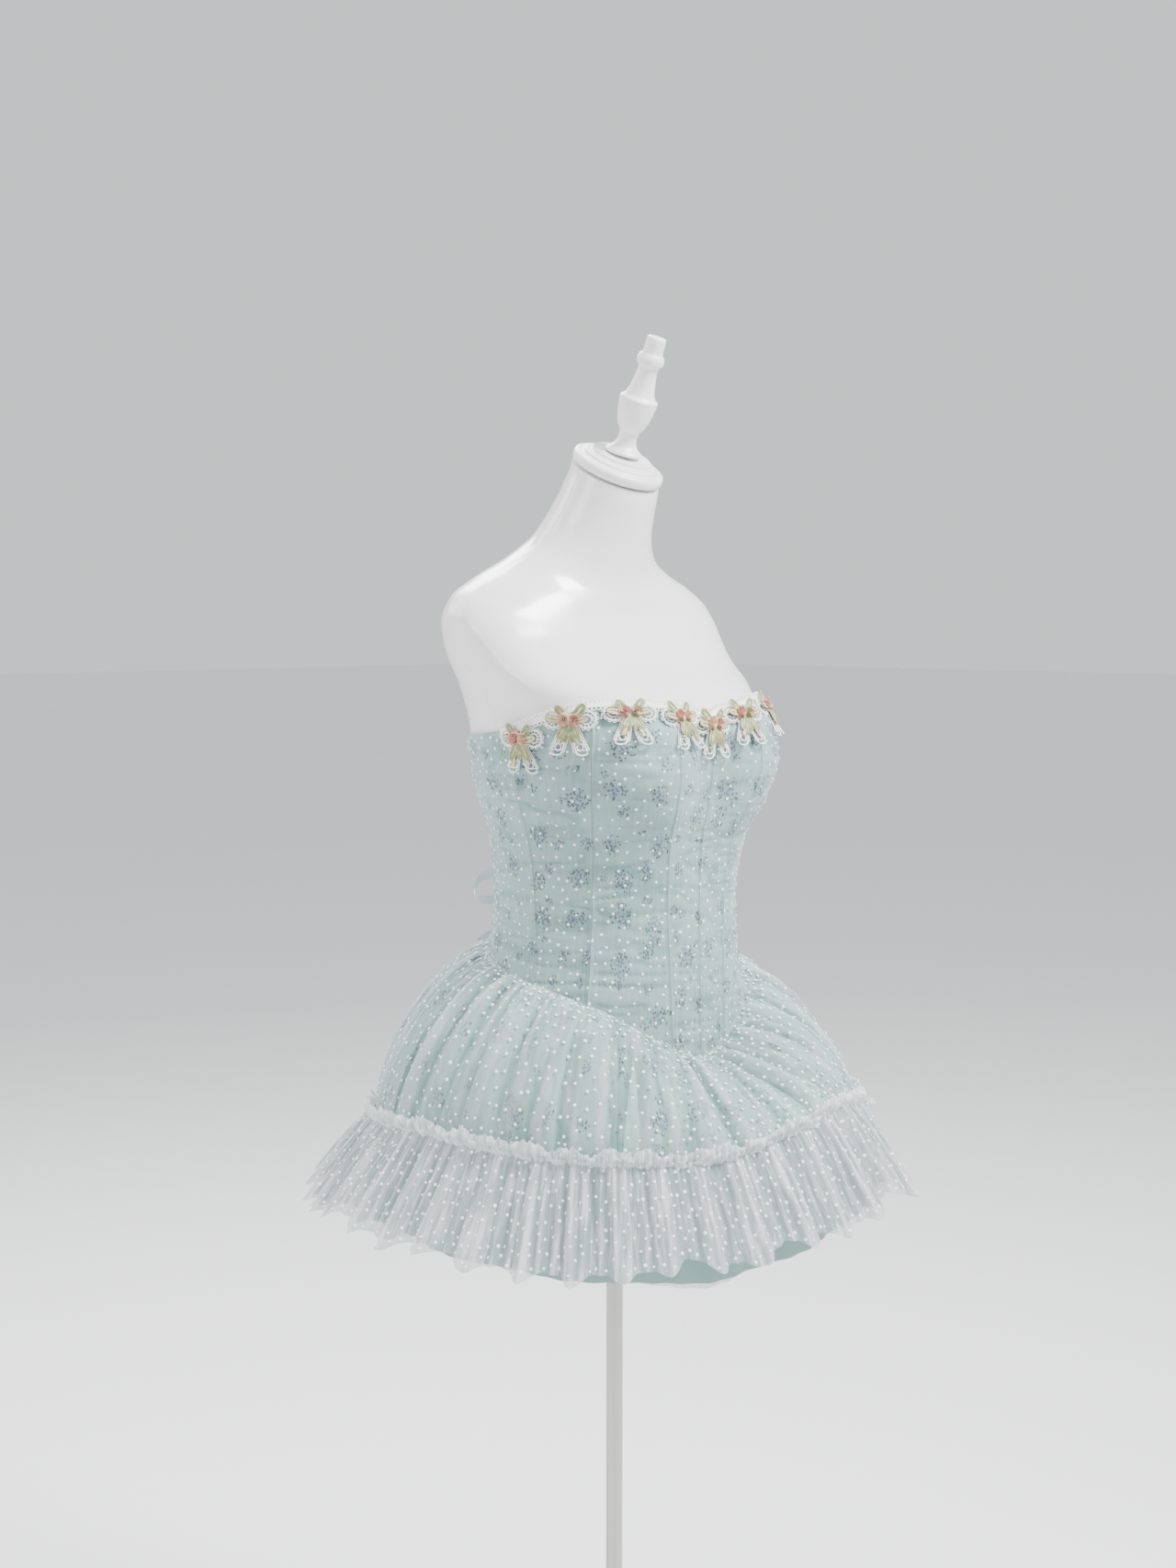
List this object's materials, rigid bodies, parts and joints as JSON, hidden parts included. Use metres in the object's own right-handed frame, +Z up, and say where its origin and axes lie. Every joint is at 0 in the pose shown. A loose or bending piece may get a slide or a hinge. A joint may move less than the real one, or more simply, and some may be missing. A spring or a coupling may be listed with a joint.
{
  "type": "strapless tulle mini dress on limbless dress form with pole stand",
  "caption": "Strapless corset-style tulle mini dress with gathered skirt, hem ruffle and neckline bows, on a limbless dress form with a turned neck finial and a pole stand.",
  "frame": {"origin": "centre of the stand base's flat underside, on the floor", "axes": "+Z up; the form faces -Y, its right side at -X and its left side at +X"},
  "size_m": [0.6374, 0.6298, 1.6594],
  "materials": {
    "form_white": "smooth gloss white shell with a painted turned cap and finial",
    "steel": "polished steel pole and base",
    "printed_tulle": "pale mint cloth with scattered small sprigs under white dotted tulle",
    "dotted_tulle": "white tulle with flocked dots, finely pleated",
    "mint_lining": "plain mint lining",
    "white_lace": "white guipure lace, picot edging and lacing ribbon",
    "ribbon": "folded ribbon roses in pink and cream with olive leaves and tails"
  },
  "bodies": {
    "root": {"back_bow": "white_lace", "bodice_back_left": "printed_tulle", "bodice_back_right": "printed_tulle", "bodice_center_front_left": "printed_tulle", "bodice_center_front_right": "printed_tulle", "bodice_side_back_left": "printed_tulle", "bodice_side_back_right": "printed_tulle", "bodice_side_front_left": "printed_tulle", "bodice_side_front_right": "printed_tulle", "bodice_side_left": "printed_tulle", "bodice_side_right": "printed_tulle", "form_finial": "form_white", "form_neck_cap": "form_white", "form_torso": "form_white", "lace_bow_1": "white_lace", "lace_bow_2": "white_lace", "lace_bow_3": "white_lace", "lace_bow_4": "white_lace", "lace_bow_5": "white_lace", "lace_bow_6": "white_lace", "lace_bow_7": "white_lace", "lace_bow_8": "white_lace", "lace_bow_9": "white_lace", "lacing_1": "white_lace", "lacing_2": "white_lace", "lining_back": "mint_lining", "lining_front": "mint_lining", "neckline_lace": "white_lace", "petticoat_back": "dotted_tulle", "petticoat_front": "dotted_tulle", "rose_bow_1": "ribbon", "rose_bow_2": "ribbon", "rose_bow_3": "ribbon", "rose_bow_4": "ribbon", "rose_bow_5": "ribbon", "rose_bow_6": "ribbon", "rose_bow_7": "ribbon", "rose_bow_8": "ribbon", "rose_bow_9": "ribbon", "ruffle_back": "dotted_tulle", "ruffle_front": "dotted_tulle", "ruffle_left": "dotted_tulle", "ruffle_right": "dotted_tulle", "skirt_back": "printed_tulle", "skirt_front": "printed_tulle", "skirt_left": "printed_tulle", "skirt_right": "printed_tulle", "stand_base": "steel", "stand_pole": "steel"}
  },
  "joints": []
}
